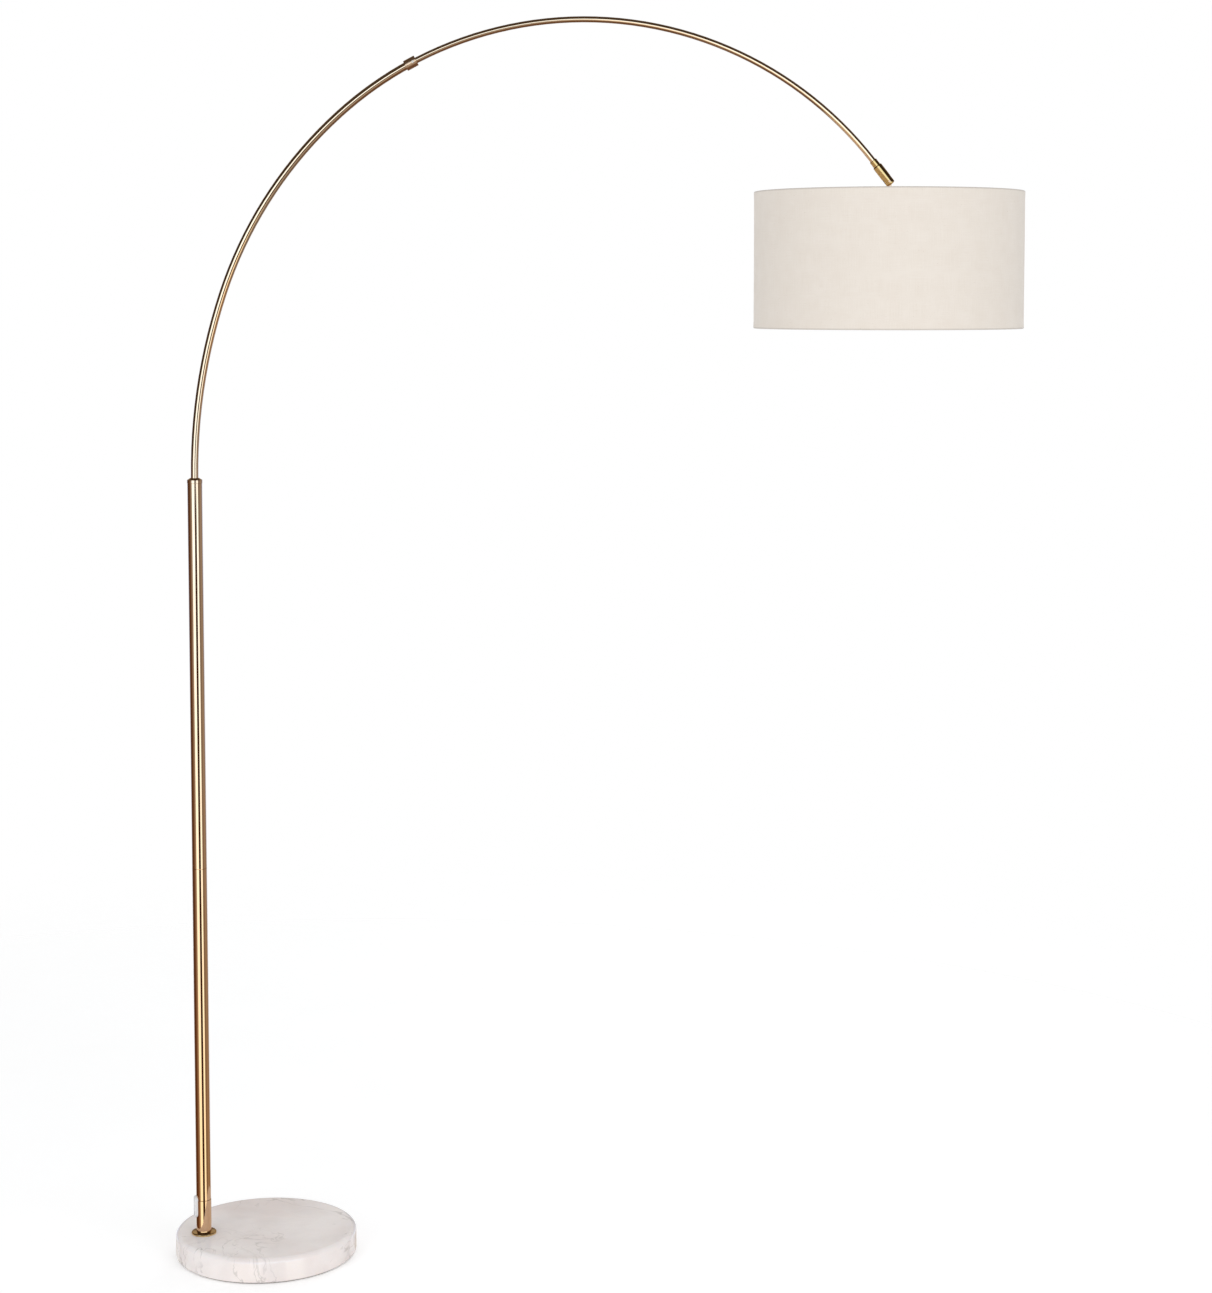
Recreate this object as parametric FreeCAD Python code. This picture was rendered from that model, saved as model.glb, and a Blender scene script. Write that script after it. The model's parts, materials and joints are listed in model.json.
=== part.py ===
import FreeCAD, Part
import math
import os

# Arc floor lamp: a marble disc carries an upright pole, a two-part curved arm rises from the pole's top,
# and a drum shade hangs level from a tilting knuckle at the arm's far end.
# Origin: centre of the base's underside. +Z up, +X from the pole towards the shade.
# The arm lies in one upright plane, parallel to XZ, through the pole's axis.

# --- driving dimensions, mm and degrees ---
base_radius = 155.0
marble_thickness = 41.0
marble_top_round = 8.0
marble_bottom_round = 3.0
pad_radius = 150.0
pad_thickness = 2.0

foot_distance = 107.8       # pole axis from the base's centre
foot_turn = 15.1            # the base is turned this far under the arm
pole_radius = 12.5
pole_wall = 1.5
foot_radius = 12.9
foot_top = 103.0            # first joint in the pole
pole_middle = 681.5         # second joint in the pole
pole_top = 1339.5
spigot_length = 30.0
seam_bevel = 0.4
cap_radius = 12.9
cap_side = 5.5              # the cap's upright side, under its cone
cap_height = 9.0
cap_skirt = 18.0            # the cap's length inside the pole
guide_length = 24.0         # the arm's lower guide, from where the arm rests
guide_floor = 4.0

flange_radius = 21.3
flange_height = 4.6
stud_radius = 5.0
stud_rise = 18.0            # the stud's length inside the pole's foot
stud_bevel = 0.8
recess_radius = 20.0        # hollow under the marble for the nut
recess_depth = 14.0
nut_across_flats = 17.0
nut_height = 8.0
washer_radius = 16.0
washer_thickness = 2.5
foot_web = 2.0              # solid metal left above the stud
foot_bore = 8.0
coupling_bore = 7.0

slot_width = 14.0
slot_height = 38.0
slot_middle = 91.0
outlet_radius = 3.4         # the cord's way out, in the middle of the slot's round lower end
bush_inner = 9.5            # the bush's inner face, from the pole's axis
bush_stand_out = 4.0

lower_tube_radius = 6.35
upper_tube_radius = 5.0
tube_wall = 1.0
stub_bottom = 1240.0
bend_start = 1349.0
first_bend = (960.0, 18.85)     # radius and turn of the arm's first, flattest stretch
second_bend = (704.4, 29.3)
arc_radius = 613.5              # shared by both tubes where one slides in the other
collar_angle = 118.1            # angles on the shared arc, counted from +X towards +Z
arc_end_angle = 38.3
insertion = 50.0                # length of the upper tube inside the lower one
travel_angle = 9.0              # how far round the arc the upper tube slides in

collar_radius = 9.0
collar_length = 20.0
screw_radius = 2.0
screw_length = 3.2
screw_socket = 2.0              # across flats
screw_offset = 4.0              # from the collar's middle towards the shade
slide_clearance = 0.1
turn_clearance = 0.05
body_gap = 0.3

ferrule_radius = 6.35
ferrule_length = 11.0
ferrule_socket = 8.0            # the upper tube's length inside the ferrule
neck_radius = 4.5               # the ferrule's spigot into the knuckle
neck_length = 6.0
cable_way = 3.0                 # radius of the hole for the cable
knuckle_radius = 8.0
knuckle_length = 39.0
pivot_from_end = 6.0
fork_slot = 6.0
fork_clearance = 1.2
tilt_washer_radius = 5.6
tilt_washer_thickness = 0.5
pin_radius = 2.0
eye_radius = 6.4
stem_width = 8.0
cup_drop = 10.5                 # cup's top below the tilt pivot
cup_height = 7.0

shade_radius = 225.0
shade_height = 228.0
shade_drop = 17.0               # rim plane below the tilt pivot
fabric = 0.8
liner = 0.7
wire_radius = 1.75
hem_depth = 10.0
spider_drop = 27.0              # spider's ring below the rim plane
spider_ring_outer = 27.0
spider_hub_height = 2.0
spider_arm_radius = 1.5
spider_arms = 3
spider_rise_run = 26.0          # the arms climb to the rim over this last stretch
spider_bend = 12.0

holder_radius = 19.5
holder_length = 38.0
holder_bore = 17.6
core_height = 11.0
clamp_radius = 22.5             # flange of the holder's cap, clamped on the spider's hub
nipple_radius = 5.0
bulb_radius = 30.0
bulb_glass_thickness = 1.0
bulb_length = 106.0             # tip of the glass to the cap's contact
bulb_cap_height = 27.0
bulb_cap_radius = 13.4
bulb_shoulder = 13.0            # height of the ball's tangent ring above its centre
cable_radius = 2.5
cable_bend = 6.0
cable_gap = 6.0                 # the cable is left out where it crosses a joint

# --- derived positions ---
base_top = pad_thickness + marble_thickness
outward = math.radians(180.0 + foot_turn)
pole_x = foot_distance * math.cos(outward)
pole_y = foot_distance * math.sin(outward)
pole_bore = pole_radius - pole_wall
slot_rise = (slot_height - slot_width) / 2.0
outlet_height = slot_middle - slot_rise
UP = FreeCAD.Vector(0, 0, 1)
ACROSS = FreeCAD.Vector(0, 1, 0)
OUTWARD = FreeCAD.Vector(math.cos(outward), math.sin(outward), 0)


def in_plane(x, z):
    """A point in the arm's plane."""
    return FreeCAD.Vector(x, pole_y, z)


def on_circle(centre, radius, angle):
    """The point of a circle in the arm's plane at an angle from +X towards +Z."""
    a = math.radians(angle)
    return centre + FreeCAD.Vector(radius * math.cos(a), 0, radius * math.sin(a))


def onward(angle):
    """Direction of travel along the arm, pole to shade, at an angle on its circle."""
    a = math.radians(angle)
    return FreeCAD.Vector(math.sin(a), 0, -math.cos(a))


# centres of the three tangent arcs: each one starts where the last one ends, in the same direction
first_centre = in_plane(pole_x + first_bend[0], bend_start)
first_end_angle = 180.0 - first_bend[1]
second_centre = on_circle(first_centre, first_bend[0] - second_bend[0], first_end_angle)
arc_start_angle = first_end_angle - second_bend[1]
arc_centre = on_circle(second_centre, second_bend[0] - arc_radius, arc_start_angle)

collar_point = on_circle(arc_centre, arc_radius, collar_angle)
collar_axis = onward(collar_angle)
inner_end_angle = collar_angle + math.degrees(insertion / arc_radius)
arc_end = on_circle(arc_centre, arc_radius, arc_end_angle)
knuckle_axis = onward(arc_end_angle)
pivot = arc_end + knuckle_axis * (ferrule_length + knuckle_length - pivot_from_end)

rim_z = pivot.z - shade_drop
bottom_z = rim_z - shade_height
spider_z = rim_z - spider_drop
liner_outer = shade_radius - fabric
wire_ring = liner_outer - liner - wire_radius
top_wire_z = rim_z - fabric - wire_radius
cup_top = pivot.z - cup_drop
cup_z = cup_top - cup_height
tongue_half = fork_slot / 2.0 - tilt_washer_thickness - body_gap
holder_top = spider_z + spider_hub_height


# --- shape helpers ---
def cylinder(start, axis, radius, length):
    return Part.makeCylinder(radius, length, start, axis)


def pipe(start, axis, outer, inner, length):
    return cylinder(start, axis, outer, length).cut(cylinder(start, axis, inner, length))


def upright(radius, z_low, z_high, x=pole_x):
    """A vertical cylinder in the arm's plane."""
    return cylinder(in_plane(x, z_low), UP, radius, z_high - z_low)


def turned(points, x=pole_x):
    """A solid of revolution about a vertical axis from its (radius, z) outline."""
    outline = [in_plane(x + r, z) for r, z in points]
    face = Part.Face(Part.makePolygon(outline + outline[:1]))
    return face.revolve(in_plane(x, 0), UP, 360)


def arc_edge(centre, radius, start_angle, end_angle):
    """An arc in the arm's plane."""
    middle = (start_angle + end_angle) / 2.0
    points = [on_circle(centre, radius, a) for a in (start_angle, middle, end_angle)]
    return Part.Arc(*points).toShape()


def line_edge(start, end):
    return Part.makeLine(start, end)


def rod(edges, axis, radius):
    """A round rod along a tangent path that starts in the direction of axis."""
    profile = Part.Wire(Part.makeCircle(radius, edges[0].Vertexes[0].Point, axis))
    return Part.Wire(edges).makePipeShell([profile], True, True)


def hexagon(across_flats, height, base):
    corner = across_flats / math.sqrt(3)
    points = []
    for i in range(7):
        a = math.radians(60 * i)
        points.append(base + FreeCAD.Vector(corner * math.cos(a), corner * math.sin(a), 0))
    return Part.Face(Part.makePolygon(points)).extrude(UP * height)


def round_edges(shape, radius, chosen):
    """Fillet the edges that pass a test on their centre of mass."""
    edges = [e for e in shape.Edges if chosen(e)]
    return shape.makeFillet(radius, edges)


def is_ring(edge, height, tolerance=0.01):
    box = edge.BoundBox
    return abs(box.ZMin - height) < tolerance and abs(box.ZMax - height) < tolerance


# --- base ---
def marble_base():
    disc = Part.makeCylinder(base_radius, marble_thickness, FreeCAD.Vector(0, 0, pad_thickness))
    disc = round_edges(disc, marble_top_round, lambda e: is_ring(e, base_top))
    disc = round_edges(disc, marble_bottom_round, lambda e: is_ring(e, pad_thickness))
    bore = upright(stud_radius + 1.0, pad_thickness, base_top)
    recess = upright(recess_radius, pad_thickness, pad_thickness + recess_depth)
    return disc.cut(bore).cut(recess)


def base_pad():
    return Part.makeCylinder(pad_radius, pad_thickness)


def base_washer():
    high = pad_thickness + recess_depth
    low = high - washer_thickness
    return upright(washer_radius, low, high).cut(upright(stud_radius, low, high))


def base_nut():
    high = pad_thickness + recess_depth - washer_thickness
    low = high - nut_height
    flat = nut_across_flats / 2.0
    corner = nut_across_flats / math.sqrt(3)
    bevel = corner - flat
    outline = [(0, low), (flat, low), (corner, low + bevel), (corner, high - bevel), (flat, high), (0, high)]
    nut = hexagon(nut_across_flats, nut_height, in_plane(pole_x, low)).common(turned(outline))
    return nut.cut(upright(stud_radius, low, high))


def base_stud():
    low, high = pad_thickness + 2.0, base_top + stud_rise
    tip, side = stud_radius - stud_bevel, stud_radius
    outline = [
        (0, low), (tip, low), (side, low + stud_bevel), (side, high - stud_bevel), (tip, high), (0, high),
    ]
    return turned(outline)


def base_flange():
    """A nearly flat disc with an upright rim and a rounded shoulder."""
    outer, z, top = flange_radius, base_top, base_top + flange_height
    outline = [
        (foot_radius, z), (outer - 0.4, z), (outer, z + 0.4), (outer, z + 2.2), (outer - 0.3, z + 3.0),
        (outer - 1.0, z + 3.6), (outer - 2.0, top - 0.8), (foot_radius + 1.0, top - 0.2),
        (foot_radius + 0.6, top), (foot_radius, top),
    ]
    return turned(outline)


# --- pole ---
def cord_slot(inner, outer):
    """An upright, round-ended block through the pole's wall on its outward side."""
    reach = outer - inner
    start = in_plane(pole_x, slot_middle) + OUTWARD * inner
    side = OUTWARD.cross(UP)
    half = slot_width / 2.0
    block = Part.makeBox(slot_width, reach, 2 * slot_rise)
    block.Placement = FreeCAD.Placement(
        start - side * half - UP * slot_rise, FreeCAD.Rotation(side, OUTWARD, UP, "ZXY"))
    for end in (-slot_rise, slot_rise):
        block = block.fuse(cylinder(start + UP * end, OUTWARD, half, reach))
    return block.removeSplitter()


def pole_tube(radius, z_low, z_high, bevelled):
    """A length of pole, bevelled where it meets the next one."""
    tube = upright(radius, z_low, z_high)
    ends = [e for e in tube.Edges if any(is_ring(e, z) for z in bevelled)]
    return tube.makeChamfer(seam_bevel, ends)


def pole_foot():
    body = pole_tube(foot_radius, base_top, foot_top, [foot_top])
    body = body.fuse(upright(pole_bore, foot_top, foot_top + spigot_length)).removeSplitter()
    stud_top = base_top + stud_rise
    body = body.cut(upright(foot_bore, stud_top + foot_web, foot_top + spigot_length))
    body = body.cut(upright(stud_radius, base_top, stud_top))
    return body.cut(cord_slot(0.0, pole_radius + 1.0))


def pole_lower():
    tube = pole_tube(pole_radius, foot_top, pole_middle, [foot_top, pole_middle])
    tube = tube.cut(upright(pole_bore, foot_top, pole_middle))
    return tube.cut(cord_slot(0.0, pole_radius + 1.0))


def cord_outlet_bush():
    plug = cord_slot(bush_inner, pole_radius + bush_stand_out)
    front = in_plane(pole_x, slot_middle) + OUTWARD * (pole_radius + bush_stand_out)
    plug = round_edges(plug, 2.2, lambda e: abs((e.CenterOfMass - front).dot(OUTWARD)) < 0.01)
    hole_start = in_plane(pole_x, outlet_height)
    return plug.cut(cylinder(hole_start, OUTWARD, outlet_radius, pole_radius + bush_stand_out + 1.0))


def pole_coupling():
    low, high = pole_middle - spigot_length, pole_middle + spigot_length
    body = upright(pole_bore, low, high)
    body = body.makeChamfer(1.0, [e for e in body.Edges if is_ring(e, low) or is_ring(e, high)])
    return body.cut(upright(coupling_bore, low, high))


def pole_upper():
    tube = pole_tube(pole_radius, pole_middle, pole_top, [pole_middle])
    return tube.cut(upright(pole_bore, pole_middle, pole_top))


def pole_top_cap():
    bore = lower_tube_radius + turn_clearance
    z, top = pole_top, pole_top + cap_height
    outline = [
        (bore, z - cap_skirt), (pole_bore, z - cap_skirt), (pole_bore, z), (cap_radius - 0.4, z),
        (cap_radius, z + 0.4), (cap_radius, z + cap_side), (bore + 1.0, top), (bore + 0.4, top),
        (bore, top - 0.4),
    ]
    return turned(outline)


def arm_bush():
    """The guide inside the pole that the arm's lower end turns in and rests on."""
    bore = lower_tube_radius + turn_clearance
    floor = stub_bottom - body_gap
    low, high = floor - guide_floor, floor + guide_length
    hole = cable_radius + 1.5
    outline = [(hole, low), (pole_bore, low), (pole_bore, high), (bore, high), (bore, floor), (hole, floor)]
    return turned(outline)


def pole_cable():
    """From the cord's outlet, round a small bend, up to just under the arm."""
    foot = in_plane(pole_x, outlet_height)
    eighth = math.pi / 4.0
    start, end = foot + OUTWARD * cable_bend, foot + UP * cable_bend
    middle = foot + (OUTWARD * (1 - math.sin(eighth)) + UP * (1 - math.cos(eighth))) * cable_bend
    bend = Part.Arc(start, middle, end).toShape()
    return rod([bend, line_edge(end, in_plane(pole_x, stub_bottom - cable_gap))], OUTWARD, cable_radius)


# --- lower arm ---
def lower_path(low, last_angle):
    """The lower arm's centreline from a height in the pole to an angle on the shared arc."""
    return [
        line_edge(in_plane(pole_x, low), in_plane(pole_x, bend_start)),
        arc_edge(first_centre, first_bend[0], 180.0, first_end_angle),
        arc_edge(second_centre, second_bend[0], first_end_angle, arc_start_angle),
        arc_edge(arc_centre, arc_radius, arc_start_angle, last_angle),
    ]


def lower_arc():
    path = lower_path(stub_bottom, collar_angle)
    return rod(path, UP, lower_tube_radius).cut(rod(path, UP, lower_tube_radius - tube_wall))


def lower_cable():
    path = lower_path(stub_bottom + cable_gap / 2.0, arc_start_angle - 0.4)
    return rod(path, UP, cable_radius)


def along_arc(start_angle, end_angle, radius):
    """A rod along the shared arc."""
    return rod([arc_edge(arc_centre, arc_radius, start_angle, end_angle)], onward(start_angle), radius)


screw_angle = collar_angle - math.degrees(screw_offset / arc_radius)
screw_point = on_circle(arc_centre, arc_radius, screw_angle)


def arm_collar():
    start = collar_point - collar_axis * (collar_length / 2.0)
    body = cylinder(start, collar_axis, collar_radius, collar_length)
    body = body.makeChamfer(0.3, [e for e in body.Edges if e.Curve.TypeId == "Part::GeomCircle"])
    body = body.cut(along_arc(collar_angle + 2.0, collar_angle, lower_tube_radius))
    body = body.cut(along_arc(collar_angle + 0.2, collar_angle - 2.0, upper_tube_radius + slide_clearance))
    return body.cut(cylinder(screw_point, -ACROSS, screw_radius, collar_radius + 1.0))


def collar_screw():
    """A set screw with a hexagon socket, short of the upper tube by the body gap."""
    depth = 1.4
    tip = screw_point - ACROSS * (upper_tube_radius + body_gap)
    screw = cylinder(tip, -ACROSS, screw_radius, screw_length)
    socket = hexagon(screw_socket, depth, FreeCAD.Vector(0, 0, 0))
    socket.Placement = FreeCAD.Placement(tip - ACROSS * (screw_length - depth), FreeCAD.Rotation(UP, -ACROSS))
    return screw.cut(socket)


# --- upper arm ---
def upper_path(first_angle, run_on):
    """The upper arm's centreline from an angle on the shared arc to a run past the arc's end."""
    return [
        arc_edge(arc_centre, arc_radius, first_angle, arc_end_angle),
        line_edge(arc_end, arc_end + knuckle_axis * run_on),
    ]


def upper_arc():
    path = upper_path(inner_end_angle, ferrule_socket)
    start = onward(inner_end_angle)
    return rod(path, start, upper_tube_radius).cut(rod(path, start, upper_tube_radius - tube_wall))


def upper_cable():
    first_angle = inner_end_angle - 1.5
    to_pivot = ferrule_length + knuckle_length - pivot_from_end
    run_on = to_pivot - eye_radius - cable_gap / 2.0
    return rod(upper_path(first_angle, run_on), onward(first_angle), cable_radius)


def arc_ferrule():
    shoulder = arc_end + knuckle_axis * ferrule_length
    body = cylinder(arc_end, knuckle_axis, ferrule_radius, ferrule_length)
    body = body.makeChamfer(0.7, [e for e in body.Edges if (e.CenterOfMass - arc_end).Length < 0.01])
    body = body.fuse(cylinder(shoulder, knuckle_axis, neck_radius, neck_length))
    body = body.cut(cylinder(arc_end, knuckle_axis, upper_tube_radius, ferrule_socket))
    return body.cut(cylinder(arc_end, knuckle_axis, cable_way, ferrule_length + neck_length))


def knuckle_body():
    start = arc_end + knuckle_axis * ferrule_length
    end = start + knuckle_axis * knuckle_length
    body = cylinder(start, knuckle_axis, knuckle_radius, knuckle_length)
    body = body.makeChamfer(1.4, [e for e in body.Edges if (e.CenterOfMass - start).Length < 0.01])
    body = body.makeFillet(3.0, [e for e in body.Edges if (e.CenterOfMass - end).Length < 0.01])
    body = body.cut(cylinder(start, knuckle_axis, neck_radius, neck_length))
    body = body.cut(cylinder(start, knuckle_axis, cable_way, knuckle_length - pivot_from_end))
    slot_depth = pivot_from_end + eye_radius + fork_clearance
    slot = Part.makeBox(4 * knuckle_radius, fork_slot, slot_depth + 1.0)
    slot.Placement = FreeCAD.Placement(
        FreeCAD.Vector(0, 0, 0), FreeCAD.Rotation(knuckle_axis.cross(ACROSS), ACROSS, -knuckle_axis, "ZYX"))
    centre = slot.CenterOfMass
    slot.translate(end - knuckle_axis * ((slot_depth - 1.0) / 2.0) - centre)
    body = body.cut(slot)
    return body.cut(cylinder(pivot - ACROSS * 10.0, ACROSS, pin_radius, 20.0))


def knuckle_pin():
    half = knuckle_radius - 0.15
    pin = cylinder(pivot - ACROSS * half, ACROSS, pin_radius, 2 * half)
    return pin.makeChamfer(0.3, [e for e in pin.Edges if e.Curve.TypeId == "Part::GeomCircle"])


def tilt_washers():
    washers = []
    for side in (-1, 1):
        face = pivot + ACROSS * (side * fork_slot / 2.0)
        washers.append(pipe(face, ACROSS * -side, tilt_washer_radius, pin_radius, tilt_washer_thickness))
    return Part.makeCompound(washers)


# --- shade fitting ---
def tilt_tongue():
    eye = cylinder(pivot - ACROSS * tongue_half, ACROSS, eye_radius, 2 * tongue_half)
    corner = pivot - FreeCAD.Vector(stem_width / 2.0, tongue_half, cup_drop)
    stem = Part.makeBox(stem_width, 2 * tongue_half, cup_drop, corner)
    spigot = upright(tongue_half, cup_z, cup_top, pivot.x)
    body = eye.fuse(stem).fuse(spigot).removeSplitter()
    return body.cut(cylinder(pivot - ACROSS * 10.0, ACROSS, pin_radius + turn_clearance, 20.0))


def tongue_cup():
    outline = [
        (tongue_half, cup_z), (7.0, cup_z), (7.0, cup_z + 1.2), (6.3, cup_z + 2.6), (4.9, cup_top - 1.2),
        (4.3, cup_top), (tongue_half, cup_top),
    ]
    return turned(outline, pivot.x)


def holder_nipple():
    low, high = holder_top + 6.0, cup_z
    return upright(nipple_radius, low, high, pivot.x).cut(upright(outlet_radius, low, high, pivot.x))


def holder_cap():
    """The lampholder's domed top, whose flange sits on the spider's hub."""
    z, neck = holder_top, nipple_radius
    outline = [
        (neck, z + 18.0), (7.0, z + 18.0), (9.0, z + 17.0), (14.0, z + 13.5), (holder_bore, z + 8.5),
        (18.6, z + 4.0), (clamp_radius, z + 3.0), (clamp_radius, z), (17.0, z), (17.0, z + 3.5),
        (15.6, z + 8.0), (12.6, z + 11.8), (neck, z + 15.4),
    ]
    return turned(outline, pivot.x)


def holder_shell():
    z, low, mouth = holder_top, holder_top - holder_length, 14.6
    outline = [
        (mouth, low), (holder_radius - 1.0, low), (holder_radius, low + 1.0), (holder_radius, z),
        (holder_bore, z), (holder_bore, z - 16.0), (mouth, z - 18.0),
    ]
    return turned(outline, pivot.x)


def holder_core():
    low, high = holder_top - core_height, holder_top
    side = holder_bore - 0.8
    return turned([(outlet_radius, low), (side, low), (side, high), (outlet_radius, high)], pivot.x)


def holder_contact():
    z, side = holder_top - core_height, outlet_radius - 0.2
    return turned([(0, z - 2.2), (2.4, z - 2.2), (side, z - 0.6), (side, z + 4.0), (0, z + 4.0)], pivot.x)


def holder_cable():
    return upright(cable_radius, holder_top + 0.5, cup_z - 1.0, pivot.x)


def shade_ring():
    """The threaded ring that clamps the spider's ring against the lampholder."""
    z = spider_z
    grip, edge = clamp_radius + 0.7, spider_ring_outer + 1.5
    outline = [
        (holder_radius, z - 7.0), (clamp_radius, z - 7.0), (grip, z - 6.3), (grip, z - 3.0),
        (edge - 0.5, z - 2.2), (edge, z - 1.2), (edge, z), (holder_radius, z),
    ]
    return turned(outline, pivot.x)


def wire(z):
    return Part.makeTorus(wire_ring, wire_radius, in_plane(pivot.x, z), UP)


def spider_arm(angle, radius):
    """One arm: level from the hub, a bend, then up to the surface of the shade's wire ring."""
    a = math.radians(angle)
    out = FreeCAD.Vector(math.cos(a), math.sin(a), 0)
    hub = in_plane(pivot.x, holder_top + 1.0)
    knee = hub + out * (wire_ring - spider_rise_run)
    climb = in_plane(pivot.x, top_wire_z) + out * wire_ring - knee
    reach = climb.Length - wire_radius
    half = math.atan2(top_wire_z - hub.z, spider_rise_run) / 2.0
    climb.normalize()
    low = knee - out * (spider_bend * math.tan(half))
    high = knee + climb * (spider_bend * math.tan(half))
    middle = low + out * (spider_bend * math.sin(half)) + UP * (spider_bend * (1.0 - math.cos(half)))
    edges = [
        line_edge(hub + out * (spider_ring_outer - 2.0), low),
        Part.Arc(low, middle, high).toShape(),
        line_edge(high, knee + climb * reach),
    ]
    return rod(edges, out, radius)


def arm_angles():
    return [90.0 + 360.0 * i / spider_arms for i in range(spider_arms)]


def spider():
    """The fitter: a flat hub ring with arms that are welded to the shade's top wire ring."""
    hub = upright(spider_ring_outer, spider_z, holder_top, pivot.x)
    for angle in arm_angles():
        hub = hub.fuse(spider_arm(angle, spider_arm_radius))
    return hub.cut(upright(holder_radius + 0.2, spider_z, holder_top + 2.0, pivot.x))


def top_ring():
    return wire(top_wire_z)


def bottom_ring():
    return wire(bottom_z + fabric + wire_radius)


def shade_liner():
    low, high = bottom_z + fabric, rim_z - fabric
    inner = liner_outer - liner
    return turned([(inner, low), (liner_outer, low), (liner_outer, high), (inner, high)], pivot.x)


def shade_fabric():
    """The cloth skin, turned in over both wire rings."""
    outer, skin = shade_radius, liner_outer
    fold = wire_ring - wire_radius - 0.05
    outline = [
        (outer, bottom_z), (outer, rim_z), (fold - fabric, rim_z), (fold - fabric, rim_z - hem_depth),
        (fold, rim_z - hem_depth), (fold, rim_z - fabric), (skin, rim_z - fabric), (skin, bottom_z + fabric),
        (fold, bottom_z + fabric), (fold, bottom_z + hem_depth), (fold - fabric, bottom_z + hem_depth),
        (fold - fabric, bottom_z),
    ]
    cloth = turned(outline, pivot.x)
    for angle in arm_angles():
        cloth = cloth.cut(spider_arm(angle, spider_arm_radius + body_gap))
    return cloth


# --- bulb ---
bulb_top = holder_top - core_height - 2.2
bulb_neck = bulb_top - bulb_cap_height
bulb_centre = bulb_top - bulb_length + bulb_radius


def bulb_solid(trim):
    """The bulb's outer form, or its inside when trimmed by the glass's thickness."""
    r = bulb_radius - trim
    low = bulb_centre + bulb_shoulder
    shoulder = math.sqrt(r * r - bulb_shoulder * bulb_shoulder)
    ball = Part.makeSphere(r, in_plane(pivot.x, bulb_centre))
    neck = Part.makeCone(shoulder, bulb_cap_radius + 0.2 - trim, bulb_neck - low, in_plane(pivot.x, low), UP)
    return ball.fuse(neck).removeSplitter()


def bulb_glass():
    glass = bulb_solid(0.0).cut(bulb_solid(bulb_glass_thickness))
    mouth = bulb_cap_radius - bulb_glass_thickness
    return glass.cut(upright(mouth, bulb_neck - 2.0, bulb_neck + 1.0, pivot.x))


def bulb_cap():
    """The screw cap: four rounded turns and a contact tip."""
    z, side = bulb_neck, bulb_cap_radius
    outline = [(0, z), (side, z), (side, z + 4.0)]
    for turn in range(4):
        foot = z + 4.6 + turn * 3.8
        outline += [
            (side - 1.0, foot), (side - 0.2, foot + 1.2), (side - 0.2, foot + 2.0), (side - 1.0, foot + 3.2),
        ]
    outline += [(side - 1.8, z + 20.6), (6.0, z + 25.4), (4.8, bulb_top), (0, bulb_top)]
    return turned(outline, pivot.x)


NODES = [
    marble_base, base_pad, base_washer, base_nut, base_stud, base_flange, pole_foot, pole_lower,
    cord_outlet_bush, pole_coupling, pole_upper, pole_top_cap, arm_bush, pole_cable,
    lower_arc, lower_cable, arm_collar, collar_screw,
    upper_arc, upper_cable, arc_ferrule, knuckle_body, knuckle_pin, tilt_washers,
    tilt_tongue, tongue_cup, holder_nipple, holder_cap, holder_shell, holder_core, holder_contact,
    holder_cable, shade_ring, spider, top_ring, bottom_ring, shade_liner, shade_fabric,
    bulb_glass, bulb_cap,
]

os.makedirs("parts", exist_ok=True)
for make in NODES:
    make().exportStep("parts/" + make.__name__ + ".step")
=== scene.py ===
import json
import math

import bpy
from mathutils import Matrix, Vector

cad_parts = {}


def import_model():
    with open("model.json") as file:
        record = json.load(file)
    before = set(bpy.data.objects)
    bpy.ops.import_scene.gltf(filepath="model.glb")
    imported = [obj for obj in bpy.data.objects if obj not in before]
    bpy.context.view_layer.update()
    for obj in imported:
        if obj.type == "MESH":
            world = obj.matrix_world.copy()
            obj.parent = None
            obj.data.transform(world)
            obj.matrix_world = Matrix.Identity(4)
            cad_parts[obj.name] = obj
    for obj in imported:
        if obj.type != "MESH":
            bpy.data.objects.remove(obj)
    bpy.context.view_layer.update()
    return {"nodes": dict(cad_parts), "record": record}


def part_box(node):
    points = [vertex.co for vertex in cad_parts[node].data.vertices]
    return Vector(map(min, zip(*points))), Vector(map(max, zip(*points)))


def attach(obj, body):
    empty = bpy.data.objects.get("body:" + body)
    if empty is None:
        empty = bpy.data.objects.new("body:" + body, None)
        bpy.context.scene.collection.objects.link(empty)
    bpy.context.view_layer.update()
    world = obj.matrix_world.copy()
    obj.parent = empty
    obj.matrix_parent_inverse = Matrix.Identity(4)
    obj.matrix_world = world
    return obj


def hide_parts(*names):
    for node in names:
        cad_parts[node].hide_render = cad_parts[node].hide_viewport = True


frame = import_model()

# --- camera, as the photograph was taken: metres and degrees ---
EYE = Vector((0.5893, -4.428, 1.6577))
LOOK_DOWN = 4.563
LENS = 72.85
RISE = -0.1112

# --- the shade's cloth ---
CLOTH = 0.0007              # thickness
HEM = 0.010                 # turned in over each wire ring
EDGE_ROUND = 0.0013
SEAM_WIDTH = 0.012          # overlap where the cloth's ends meet
SEAM_ANGLE = 90.0           # the overlap is at the back
AROUND = 384                # mesh columns round the drum
RIDGE = 0.00022             # how far the wire and the turned-in hem show through the cloth
DRUM_RADIUS = 0.225         # turns an angle round the drum into a length along the cloth
THREAD_PITCH = 0.0011
FOLD_SHADE = (0.0030, 0.0008)    # painted shade along the folded edge starts and ends this far from the cloth's end

# --- the arm ---
ARC_REACH = 0.613           # turns an angle on the arm into a length along it

# --- the marble: each set of veins has a direction, a width, a strength and a colour ---
VEINS = [(0.6, 0.016, 0.55, (184, 178, 175)), (2.2, 0.006, 0.60, (136, 128, 122))]

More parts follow.
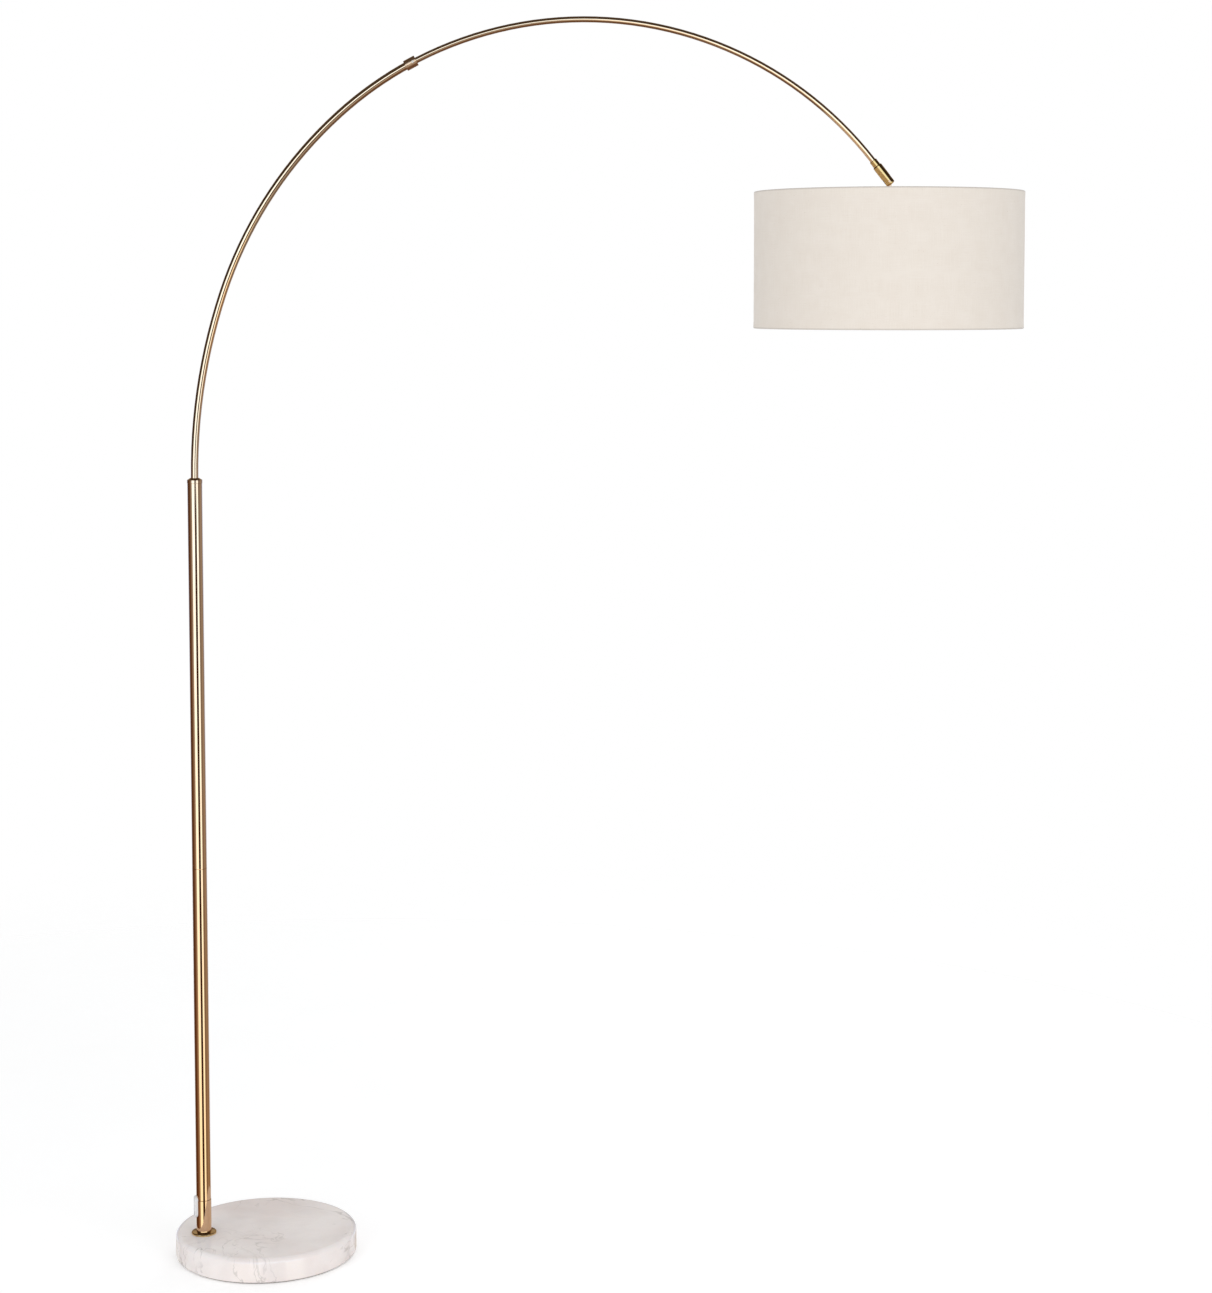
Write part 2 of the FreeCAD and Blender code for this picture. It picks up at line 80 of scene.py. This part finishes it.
# --- the studio ---
SOFTBOX_AWAY = 3.6
SOFTBOX_SIZE = (1.9, 2.7)
AIM_HEIGHT = 1.2
LAMP_MIDDLE = Vector((0.45, -0.028, 0.0))
ROOM_GLOW = 3.0             # how bright the painted room looks in the metal
FILL = 0.72                 # even light on matt surfaces from all round
FLOOR_REACH = 3.4
FLOOR_FADES = (0.9, 3.2)    # from the lamp's base outwards
FLOOR_GLOW = 0.25
FLOOR_RINGS, FLOOR_SPOKES = 24, 96
SOFTBOX = (0.56, 0.76, 1.0)     # cool, so that it looks white in brass
UNCOOLED = (1.0, 0.78, 0.60, 1.0)   # takes the cool cast off a reflection in marble or plastic
BACKBOX = (0.24, 0.30, 0.44)    # weaker ones behind the lamp

# What the metal sees round the lamp, as (degrees, colour): 0 is towards the camera and 90 towards the shade.
# It isn't the real studio: it was worked out from the stripes that the photograph shows on the pole
# and the arm, and then tuned. Below eye level a dark gap parts the two softboxes, and above it they meet.
# Over both is a dark ceiling, a little lighter at the back, and under both is the lit floor.
ROOM_LOW = [
    (-180.0, (0.20, 0.23, 0.30)), (-162.0, (0.16, 0.18, 0.22)), (-159.0, BACKBOX), (-141.0, BACKBOX),
    (-138.0, (0.060, 0.050, 0.046)), (-97.0, (0.030, 0.012, 0.005)), (-74.0, (0.070, 0.043, 0.027)),
    (-54.0, (0.125, 0.121, 0.125)), (-40.0, (0.15, 0.15, 0.15)), (-36.0, SOFTBOX), (-1.0, SOFTBOX),
    (1.0, (0.016, 0.007, 0.002)), (30.5, (0.016, 0.007, 0.002)), (32.5, SOFTBOX), (55.0, SOFTBOX),
    (59.0, (0.11, 0.11, 0.11)), (80.0, (0.086, 0.081, 0.080)), (101.0, (0.156, 0.153, 0.155)),
    (127.0, (0.101, 0.096, 0.095)), (140.0, (0.06, 0.05, 0.05)), (143.0, BACKBOX), (162.0, BACKBOX),
    (165.0, (0.16, 0.18, 0.22)), (180.0, (0.20, 0.23, 0.30)),
]
ROOM_HIGH = [
    (-180.0, (0.06, 0.05, 0.045)), (-135.0, (0.030, 0.022, 0.016)), (-60.0, (0.016, 0.012, 0.010)),
    (-44.0, (0.030, 0.026, 0.022)), (-37.0, SOFTBOX), (50.0, SOFTBOX), (58.0, (0.08, 0.072, 0.064)),
    (100.0, (0.090, 0.078, 0.068)), (138.0, (0.05, 0.042, 0.036)), (180.0, (0.06, 0.05, 0.045)),
]
ROOM_ABOVE = [
    (-180.0, (0.13, 0.11, 0.085)), (-135.0, (0.10, 0.085, 0.065)), (-115.0, (0.012, 0.009, 0.006)),
    (115.0, (0.012, 0.009, 0.006)), (135.0, (0.10, 0.085, 0.065)), (180.0, (0.13, 0.11, 0.085)),
]
ROOM_FLOOR = [
    (-180.0, (0.05, 0.045, 0.040)), (-100.0, (0.045, 0.042, 0.04)), (-50.0, (0.10, 0.10, 0.10)),
    (-15.0, (0.23, 0.24, 0.24)), (15.0, (0.23, 0.24, 0.24)), (60.0, (0.12, 0.125, 0.13)),
    (100.0, (0.07, 0.068, 0.07)), (180.0, (0.05, 0.045, 0.040)),
]
OVERHEAD = (0.026, 0.022, 0.017, 1.0)
UNDERFOOT = (0.060, 0.038, 0.026, 1.0)
WARM = (1.0, 0.76, 0.50, 1.0)   # the light close to the floor

# heights above the horizon, in degrees, between which one zone turns into the next
WARM_TO_CLEAR = (-18.0, -6.0)
LOW_TO_HIGH = (-4.5, -1.5)
HIGH_TO_ABOVE = (14.0, 21.0)
ABOVE_TO_OVERHEAD = (31.0, 42.0)
LOW_TO_FLOOR = (-20.5, -25.0)
FLOOR_TO_UNDERFOOT = (-30.0, -52.0)


# ---------------------------------------------------------------- materials
class Nodes:
    """A node tree under construction: one call adds a wired node."""

    def __init__(self, tree):
        self.tree = tree

    def node(self, kind, inputs, **settings):
        made = self.tree.nodes.new("ShaderNode" + kind)
        for key, value in settings.items():
            setattr(made, key, value)
        for key, value in inputs.items():
            self.put(made.inputs[key], value)
        return made.outputs[0]

    def put(self, socket, value):
        if isinstance(value, bpy.types.NodeSocket):
            self.tree.links.new(value, socket)
        else:
            socket.default_value = value

    def maths(self, operation, a, b=0.0):
        return self.node("Math", {0: a, 1: b}, operation=operation)

    def split(self, vector):
        made = self.tree.nodes.new("ShaderNodeSeparateXYZ")
        self.put(made.inputs[0], vector)
        return made.outputs[0], made.outputs[1], made.outputs[2]

    def join(self, x, y, z):
        return self.node("CombineXYZ", {0: x, 1: y, 2: z})

    def scaled(self, vector, scale):
        return self.node("VectorMath", {0: vector, 1: scale}, operation="MULTIPLY")

    def noise(self, vector, scale=1.0, detail=3.0, roughness=0.55, distortion=0.0):
        inputs = {"Vector": vector, "Scale": scale, "Detail": detail, "Roughness": roughness,
                  "Distortion": distortion}
        return self.node("TexNoise", inputs)

    def span(self, value, low, high, to_low=0.0, to_high=1.0, smooth=False):
        kind = "SMOOTHSTEP" if smooth else "LINEAR"
        inputs = {0: value, 1: low, 2: high, 3: to_low, 4: to_high}
        return self.node("MapRange", inputs, interpolation_type=kind)

    def length(self, a, b):
        squares = self.maths("ADD", self.maths("MULTIPLY", a, a), self.maths("MULTIPLY", b, b))
        return self.maths("SQRT", squares)

    def mix(self, factor, a, b, blend="MIX"):
        made = self.tree.nodes.new("ShaderNodeMix")
        made.data_type = "RGBA"
        made.blend_type = blend
        self.put(made.inputs[0], factor)
        self.put(made.inputs[6], a)
        self.put(made.inputs[7], b)
        return made.outputs[2]

    def bump(self, height, distance, strength):
        return self.node("Bump", {"Height": height, "Distance": distance, "Strength": strength})

    def ramp(self, turn, stops):
        """A colour for each direction round the lamp, from (degrees, colour) stops."""
        made = self.tree.nodes.new("ShaderNodeValToRGB")
        self.put(made.inputs[0], turn)
        elements = made.color_ramp.elements
        elements[0].color = elements[1].color = (*stops[0][1], 1.0)
        for azimuth, colour in stops[1:-1]:
            elements.new((azimuth + 180.0) / 360.0).color = (*colour, 1.0)
        return made.outputs[0]


class Look(Nodes):
    """A material under construction."""

    def __init__(self, name):
        self.material = bpy.data.materials.new(name)
        self.material.use_nodes = True
        super().__init__(self.material.node_tree)
        self.shader = self.tree.nodes["Principled BSDF"]

    def place(self):
        """The piece's own coordinates, which are the lamp's at rest."""
        made = self.tree.nodes.new("ShaderNodeTexCoord")
        return made.outputs["Object"]

    def finish(self, **sockets):
        for key, value in sockets.items():
            self.put(self.shader.inputs[key.replace("_", " ")], value)
        return self.material


def paint(red, green, blue):
    """A colour given as 0-255 display values."""
    parts = []
    for value in (red, green, blue):
        c = value / 255.0
        parts.append(c / 12.92 if c <= 0.04045 else ((c + 0.055) / 1.055) ** 2.4)
    return (*parts, 1.0)


def tube_place(look, centre):
    """(along, across) coordinates of a tube: along a straight pole, or round an arc's centre."""
    x, y, z = look.split(look.place())
    if centre is None:
        return z, x, y
    dx = look.maths("SUBTRACT", x, centre.x)
    dz = look.maths("SUBTRACT", z, centre.z)
    angle = look.maths("ARCTAN2", dz, dx)
    return look.maths("MULTIPLY", angle, ARC_REACH), look.length(dx, dz), y


def brass(name, centre=None, base=(228, 190, 152), dark=(212, 170, 130), shine=0.07, relief=0.000002):
    """Lacquered brass tube, drawn along its length: crisp, with a faint uneven patina."""
    look = Look(name)
    along, across, side = tube_place(look, centre)

    def drawn(scale, stretch, **settings):
        place = look.join(look.maths("MULTIPLY", across, scale), look.maths("MULTIPLY", side, scale),
                          look.maths("MULTIPLY", along, stretch))
        return look.noise(place, **settings)

    streaks = drawn(2600.0, 24.0, detail=2.0)
    patina = drawn(60.0, 9.0, detail=5.0, roughness=0.6, distortion=0.4)
    specks = look.noise(look.place(), scale=900.0, detail=1.0)
    tint = look.mix(look.span(patina, 0.35, 0.75, 0.0, 0.5), paint(*base), paint(*dark))
    tint = look.mix(look.span(streaks, 0.45, 0.8, 0.0, 0.15), tint, paint(*dark))
    tint = look.mix(look.span(specks, 0.72, 0.80, 0.0, 0.25), tint, paint(90, 66, 44))
    rough = look.maths("ADD", look.span(patina, 0.3, 0.8, shine - 0.02, shine + 0.03),
                       look.span(streaks, 0.3, 0.7, -0.015, 0.015))
    return look.finish(Base_Color=tint, Metallic=1.0, Roughness=rough, Normal=look.bump(streaks, relief, 0.5))


def bright_brass():
    """Polished brass of the flange, with fine scratches."""
    look = Look("polished_brass")
    place = look.place()
    clouds = look.noise(place, scale=90.0, detail=4.0)
    scratches = look.noise(look.scaled(place, (500.0, 500.0, 60.0)), detail=3.0)
    tint = look.mix(look.span(clouds, 0.35, 0.75), paint(238, 206, 152), paint(216, 178, 120))
    rough = look.span(scratches, 0.3, 0.7, 0.08, 0.16)
    return look.finish(Base_Color=tint, Metallic=1.0, Roughness=rough,
                       Normal=look.bump(scratches, 0.00001, 0.4))


def marble():
    """Polished pale marble: soft pink and grey clouds, and a few thin grey veins."""
    look = Look("polished_marble")
    place = look.place()
    swirl = look.noise(place, scale=5.0, detail=4.0, roughness=0.6)
    bent = look.node("VectorMath", {0: place, 1: look.scaled(swirl, (0.10, 0.10, 0.10))}, operation="ADD")
    clouds = look.noise(bent, scale=9.0, detail=6.0, roughness=0.6)
    blush = look.noise(bent, scale=6.0, detail=3.0)
    base = look.mix(look.span(clouds, 0.36, 0.68), paint(251, 245, 243), paint(236, 229, 227))
    base = look.mix(look.span(blush, 0.48, 0.72, 0.0, 0.5), base, paint(236, 222, 217))
    for turn, width, depth, colour in VEINS:
        turned = look.node("VectorRotate", {"Vector": bent, "Angle": turn}, rotation_type="Z_AXIS")
        ridge = look.noise(look.scaled(turned, (4.0, 11.0, 6.0)), detail=5.0, roughness=0.55, distortion=0.6)
        line = look.maths("ABSOLUTE", look.maths("SUBTRACT", ridge, 0.5))
        vein = look.span(line, 0.0, width, depth, 0.0, smooth=True)
        broken = look.span(look.noise(turned, scale=7.0, detail=2.0), 0.46, 0.60)
        base = look.mix(look.maths("MULTIPLY", vein, broken), base, paint(*colour))
    grain = look.noise(place, scale=700.0, detail=2.0)
    base = look.mix(look.span(grain, 0.3, 0.7, 0.0, 0.10), base, paint(206, 199, 195))
    rough = look.span(clouds, 0.3, 0.7, 0.02, 0.04)
    return look.finish(Base_Color=base, Roughness=rough, Specular_IOR_Level=0.5,
                       Specular_Tint=(1.0, 0.95, 0.92, 1.0), Normal=look.bump(grain, 0.00002, 0.3),
                       Subsurface_Weight=0.08, Subsurface_Radius=(0.004, 0.003, 0.002))


def linen(axis, bottom, top):
    """Natural linen: plain weave with uneven threads, slubs and dark flecks, and painted shade along the
    folded edges.
    """
    look = Look("natural_linen")
    x, y, z = look.split(look.place())
    angle = look.maths("ARCTAN2", look.maths("SUBTRACT", y, axis.y), look.maths("SUBTRACT", x, axis.x))
    around = look.maths("MULTIPLY", angle, DRUM_RADIUS)
    cloth = look.join(around, z, 0.0)
    weft = look.noise(look.scaled(cloth, (26.0, 1300.0, 1.0)), detail=2.0)
    warp = look.noise(look.scaled(cloth, (1300.0, 26.0, 1.0)), detail=2.0)
    weft_slub = look.noise(look.scaled(cloth, (70.0, 1000.0, 1.0)), detail=2.0, roughness=0.7)
    warp_slub = look.noise(look.scaled(cloth, (1000.0, 60.0, 1.0)), detail=2.0, roughness=0.7)
    fleck = look.noise(look.scaled(cloth, (260.0, 900.0, 1.0)), detail=1.0)
    mottle = look.noise(cloth, scale=34.0, detail=4.0)
    pitch = 2.0 * math.pi / THREAD_PITCH
    threads = look.maths("MULTIPLY", look.maths("SINE", look.maths("MULTIPLY", around, pitch)),
                         look.maths("SINE", look.maths("MULTIPLY", z, pitch)))
    tint = look.mix(look.span(mottle, 0.3, 0.7), paint(234, 225, 214), paint(238, 230, 220))
    tint = look.mix(look.span(weft, 0.35, 0.75, 0.0, 0.35), tint, paint(228, 216, 203))
    tint = look.mix(look.span(warp, 0.40, 0.75, 0.0, 0.30), tint, paint(247, 240, 232))
    tint = look.mix(look.span(weft_slub, 0.66, 0.76, 0.0, 0.45), tint, paint(214, 200, 184))
    tint = look.mix(look.span(warp_slub, 0.68, 0.78, 0.0, 0.35), tint, paint(218, 204, 188))
    tint = look.mix(look.span(fleck, 0.74, 0.80, 0.0, 0.55), tint, paint(176, 156, 134))
    # painted shade: the cloth turns darker within a few millimetres of each edge, where it folds over the
    # wire ring
    off_middle = look.maths("ABSOLUTE", look.maths("SUBTRACT", z, (top + bottom) / 2.0))
    half = (top - bottom) / 2.0
    fold_shade = look.span(off_middle, half - FOLD_SHADE[0], half - FOLD_SHADE[1], 0.0, 0.45)
    tint = look.mix(fold_shade, tint, paint(150, 144, 138))
    slubs = look.maths("ADD", look.maths("MULTIPLY", weft, 1.6), look.maths("MULTIPLY", warp, 1.2))
    height = look.maths("ADD", look.maths("MULTIPLY", threads, 0.5), slubs)
    return look.finish(Base_Color=tint, Roughness=0.92, Normal=look.bump(height, 0.00016, 0.6),
                       Sheen_Weight=0.25, Sheen_Roughness=0.5, Specular_IOR_Level=0.2)


def plain(name, light, dark, rough, scale=300.0, depth=0.00003, metallic=0.0, **extra):
    """A moulded, cast or plated surface: a little uneven in colour, gloss and height."""
    look = Look(name)
    place = look.place()
    fine = look.noise(place, scale=scale, detail=3.0)
    broad = look.noise(place, scale=scale / 12.0, detail=3.0)
    tint = look.mix(look.span(broad, 0.3, 0.7), paint(*light), paint(*dark))
    shine = look.span(fine, 0.3, 0.7, max(rough - 0.06, 0.02), rough + 0.06)
    gloss = (1.0, 1.0, 1.0, 1.0) if metallic else UNCOOLED
    return look.finish(Base_Color=tint, Roughness=shine, Metallic=metallic, Specular_Tint=gloss,
                       Normal=look.bump(fine, depth, 0.5), **extra)


def give(material, *nodes):
    """Put one material on whole CAD nodes."""
    for name in nodes:
        mesh = frame["nodes"][name].data
        mesh.materials.clear()
        mesh.materials.append(material)


# ---------------------------------------------------------------- the shade's cloth
def cloth_outline(rim, top, bottom, fold):
    """The middle line of the cloth, in (radius, height), from the inner bottom hem to the inner top hem."""
    half = CLOTH / 2.0
    skin, inner = rim - half, fold - half
    points = []

    def corner(r, z, start):
        for step in range(7):
            a = math.radians(start + 15.0 * step)
            points.append((r + EDGE_ROUND * math.cos(a), z + EDGE_ROUND * math.sin(a)))

    def run(r0, z0, r1, z1, parts):
        for i in range(1, parts):
            s = i / parts
            points.append((r0 + (r1 - r0) * s, z0 + (z1 - z0) * s))

    low, high = bottom + half + EDGE_ROUND, top - half - EDGE_ROUND
    points.append((inner, bottom + HEM))
    run(inner, bottom + HEM, inner, low, 4)
    corner(inner + EDGE_ROUND, low, 180.0)
    corner(skin - EDGE_ROUND, low, 270.0)
    run(skin, low, skin, high, 96)
    corner(skin - EDGE_ROUND, high, 0.0)
    corner(inner + EDGE_ROUND, high, 90.0)
    run(inner, high, inner, top - HEM, 4)
    points.append((inner, top - HEM))
    return points


def offset_line(points, distance):
    """The outline moved sideways by a distance, to the right of its direction."""
    moved = []
    for i, (r, z) in enumerate(points):
        r0, z0 = points[max(i - 1, 0)]
        r1, z1 = points[min(i + 1, len(points) - 1)]
        length = math.hypot(r1 - r0, z1 - z0)
        moved.append((r + (z1 - z0) / length * distance, z - (r1 - r0) / length * distance))
    return moved


def bell(value, middle, width):
    """A smooth bump, 1 high at its middle."""
    return math.exp(-((value - middle) / width) ** 2)


def within(value, limit, soft):
    """1 below a limit and 0 above it, with a soft step."""
    return 0.5 - 0.5 * math.tanh((value - limit) / soft)


def cloth_relief(angle, z, top, bottom):
    """How far the outer face stands out: over the wires and hems, at the seam, and unevenly everywhere."""
    from_edge = min(z - bottom, top - z)
    out = RIDGE * bell(from_edge, 0.0030, 0.0022)
    out += RIDGE * 0.7 * within(from_edge, HEM, 0.0010)
    seam = abs((angle - math.radians(SEAM_ANGLE) + math.pi) % (2 * math.pi) - math.pi) * DRUM_RADIUS
    out += CLOTH * 0.8 * within(seam, SEAM_WIDTH / 2.0, 0.0008)
    wander = math.sin(3 * angle + 9.0 * z) + 0.6 * math.sin(7 * angle - 14.0 * z + 1.3)
    wander += 0.4 * math.sin(17 * angle + 31.0 * z)
    return out + 0.00012 * wander


def shade_cloth():
    """The linen cover as a closed sheet with real thickness, turned in over both wire rings."""
    low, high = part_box("shade_fabric")
    wire_low, wire_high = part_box("top_ring")
    axis = Vector(((low[0] + high[0]) / 2, (low[1] + high[1]) / 2, 0.0))
    rim, top, bottom = (high[0] - low[0]) / 2, high[2], low[2]
    wire = wire_high[2] - wire_low[2]
    fold = (wire_high[0] - wire_low[0]) / 2 - wire
    middle = cloth_outline(rim, top, bottom, fold)
    loop = offset_line(middle, CLOTH / 2) + offset_line(middle, -CLOTH / 2)[::-1]
    outer_skin = len(middle)
    points, faces = [], []
    for i in range(AROUND):
        a = 2 * math.pi * i / AROUND
        for j, (r, z) in enumerate(loop):
            if j < outer_skin and r > rim - 0.004:
                r += cloth_relief(a, z, top, bottom)
            points.append((axis.x + r * math.cos(a), axis.y + r * math.sin(a), z))
    count = len(loop)
    for i in range(AROUND):
        for j in range(count):
            a, b = i * count, ((i + 1) % AROUND) * count
            k = (j + 1) % count
            faces.append((a + j, b + j, b + k, a + k))
    mesh = bpy.data.meshes.new("shade_cloth")
    mesh.from_pydata(points, [], faces)
    mesh.update()
    for face in mesh.polygons:
        face.use_smooth = True
    piece = bpy.data.objects.new("shade_cloth", mesh)
    bpy.context.scene.collection.objects.link(piece)
    mesh.materials.append(linen(axis, bottom, top))
    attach(piece, "shade")
    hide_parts("shade_fabric")


# ---------------------------------------------------------------- room
def area_light(name, place, target, width, height, power):
    """A softbox for the matt surfaces. The metal reflects the room that is painted in the world."""
    data = bpy.data.lights.new(name, "AREA")
    data.shape = "RECTANGLE"
    data.size, data.size_y = width, height
    data.energy = power
    lamp = bpy.data.objects.new(name, data)
    lamp.location = place
    lamp.rotation_euler = (Vector(target) - Vector(place)).to_track_quat("-Z", "Y").to_euler()
    lamp.visible_camera = False
    lamp.visible_glossy = False
    bpy.context.scene.collection.objects.link(lamp)


def lights(middle):
    """Tall softboxes either side of the camera, and a weak one behind the lamp."""
    for name, side, height, power in (("softbox_left", -33.0, 1.9, 20.0), ("softbox_right", 33.0, 1.9, 26.0),
                                      ("back_fill", 165.0, 3.0, 20.0)):
        a = math.radians(side)
        place = (middle.x + SOFTBOX_AWAY * math.sin(a), middle.y - SOFTBOX_AWAY * math.cos(a), height)
        area_light(name, place, (middle.x, middle.y, AIM_HEIGHT), *SOFTBOX_SIZE, power)


def world():
    """A white backdrop, even light for matt surfaces, and a dark room with two softboxes for the metal."""
    made = bpy.data.worlds.new("studio")
    bpy.context.scene.world = made
    made.use_nodes = True
    made.node_tree.nodes.clear()
    look = Nodes(made.node_tree)
    x, y, z = look.split(look.node("TexCoord", {}))
    across = look.maths("ARCTAN2", x, look.maths("MULTIPLY", y, -1.0))
    turn = look.maths("ADD", look.maths("DIVIDE", across, 2.0 * math.pi), 0.5)
    rise = look.maths("DEGREES", look.maths("ARCSINE", z))
    warm = look.mix(look.span(rise, *WARM_TO_CLEAR), WARM, (1.0, 1.0, 1.0, 1.0))
    low = look.mix(1.0, look.ramp(turn, ROOM_LOW), warm, blend="MULTIPLY")
    room = look.mix(look.span(rise, *LOW_TO_HIGH), low, look.ramp(turn, ROOM_HIGH))
    above = look.mix(look.span(rise, *ABOVE_TO_OVERHEAD), look.ramp(turn, ROOM_ABOVE), OVERHEAD)
    room = look.mix(look.span(rise, *HIGH_TO_ABOVE, smooth=True), room, above)
    ground = look.mix(look.span(rise, *FLOOR_TO_UNDERFOOT), look.ramp(turn, ROOM_FLOOR), UNDERFOOT)
    room = look.mix(look.span(rise, *LOW_TO_FLOOR, smooth=True), room, ground)
    path = look.tree.nodes.new("ShaderNodeLightPath")
    seen, mirrored = path.outputs["Is Camera Ray"], path.outputs["Is Glossy Ray"]
    fill = look.node("Background", {"Color": (0.985, 0.99, 1.0, 1.0), "Strength": FILL})
    reflected = look.node("Background", {"Color": room, "Strength": ROOM_GLOW})
    backdrop = look.node("Background", {"Color": (1.0, 1.0, 1.0, 1.0), "Strength": 1.0})
    light = look.node("MixShader", {0: mirrored, 1: fill, 2: reflected})
    both = look.node("MixShader", {0: seen, 1: light, 2: backdrop})
    out = look.tree.nodes.new("ShaderNodeOutputWorld")
    look.put(out.inputs[0], both)


def floor():
    """A pale floor that fades into the white backdrop away from the lamp."""
    rings, spokes = FLOOR_RINGS, FLOOR_SPOKES
    points, faces = [(0.0, 0.0, 0.0)], []
    for i in range(1, rings + 1):
        for j in range(spokes):
            a, r = 2 * math.pi * j / spokes, FLOOR_REACH * i / rings
            points.append((r * math.cos(a), r * math.sin(a), 0.0))
    for j in range(spokes):
        k = (j + 1) % spokes
        faces.append((0, 1 + j, 1 + k))
        for i in range(rings - 1):
            a, b = 1 + i * spokes, 1 + (i + 1) * spokes
            faces.append((a + j, b + j, b + k, a + k))
    mesh = bpy.data.meshes.new("floor")
    mesh.from_pydata(points, [], faces)
    piece = bpy.data.objects.new("floor", mesh)
    piece.location = (0.0, 0.0, -0.0005)
    piece.visible_glossy = False
    bpy.context.scene.collection.objects.link(piece)
    look = Look("pale_floor")
    x, y, _ = look.split(look.place())
    away = look.length(x, y)
    clear = look.node("BsdfTransparent", {})
    faded = look.span(away, *FLOOR_FADES, smooth=True)
    geometry = look.tree.nodes.new("ShaderNodeNewGeometry")
    gone = look.maths("MAXIMUM", faded, geometry.outputs["Backfacing"])
    blend = look.node("MixShader", {0: gone, 1: look.shader.outputs[0], 2: clear})
    look.put(look.tree.nodes["Material Output"].inputs["Surface"], blend)
    tint = look.mix(look.noise(look.place(), scale=3.0), paint(244, 244, 244), paint(240, 240, 239))
    mesh.materials.append(look.finish(Base_Color=tint, Roughness=0.7, Specular_IOR_Level=0.0,
                                      Emission_Color=(1.0, 1.0, 1.0, 1.0), Emission_Strength=FLOOR_GLOW))


def camera():
    """The camera, standing where the photograph was taken from."""
    data = bpy.data.cameras.new("camera")
    data.lens = LENS
    data.shift_y = RISE
    eye = bpy.data.objects.new("camera", data)
    eye.location = EYE
    eye.rotation_euler = (math.radians(90.0 - LOOK_DOWN), 0.0, 0.0)
    bpy.context.scene.collection.objects.link(eye)
    bpy.context.scene.camera = eye


# ---------------------------------------------------------------- assembly
joints = {j["name"]: j for j in frame["record"]["behaviour"]["joints"]}
arc_centre = Vector(joints["arm_extend"]["pos_m"])

give(marble(), "marble_base")
give(brass("brass_pole"), "pole_foot", "pole_lower", "pole_upper", "pole_top_cap")
give(brass("brass_arm", arc_centre), "lower_arc", "upper_arc")
# The ferrule and knuckle get a darker copy of the arm's brass: painted shade for the darker reflections they
# show.
give(brass("brass_knuckle_painted_shade", arc_centre, base=(208, 168, 108), dark=(166, 126, 78), shine=0.12),
     "arc_ferrule", "knuckle_body")
give(brass("satin_brass", base=(226, 184, 146), dark=(198, 154, 118), shine=0.30, relief=0.00001),
     "arm_collar", "tilt_tongue", "tongue_cup", "holder_nipple", "holder_cap", "knuckle_pin")
give(bright_brass(), "base_flange", "holder_contact")
give(plain("zinc", (205, 182, 160), (182, 160, 140), 0.32, metallic=1.0),
     "base_washer", "base_nut", "base_stud", "pole_coupling", "collar_screw")
give(plain("white_moulding", (238, 238, 237), (228, 228, 227), 0.28), "holder_shell", "shade_ring")
# A greyer copy of the white moulding: painted shade for the grey rim round the bush.
give(plain("bush_moulding_painted_shade", (232, 232, 234), (214, 215, 218), 0.38), "cord_outlet_bush")
give(plain("black_moulding", (30, 30, 31), (22, 22, 23), 0.5), "arm_bush", "tilt_washers")
give(plain("felt", (168, 165, 161), (150, 147, 143), 0.95, scale=1200.0, depth=0.0004), "base_pad")
give(plain("cable_sheath", (44, 43, 43), (32, 31, 31), 0.5), "pole_cable", "lower_cable", "upper_cable",
     "holder_cable")
give(plain("porcelain", (236, 233, 226), (222, 218, 210), 0.4), "holder_core")
give(plain("enamelled_wire", (238, 238, 236), (226, 226, 224), 0.3), "spider", "top_ring", "bottom_ring")
give(plain("styrene", (246, 244, 240), (240, 237, 231), 0.42, scale=700.0), "shade_liner")
give(plain("opal_glass", (250, 249, 246), (244, 243, 240), 0.12, Subsurface_Weight=0.3), "bulb_glass")
give(plain("nickel_cap", (216, 194, 172), (192, 170, 150), 0.22, metallic=1.0), "bulb_cap")

shade_cloth()
floor()
camera()
world()
lights(LAMP_MIDDLE)
bpy.context.scene.view_settings.view_transform = "Standard"
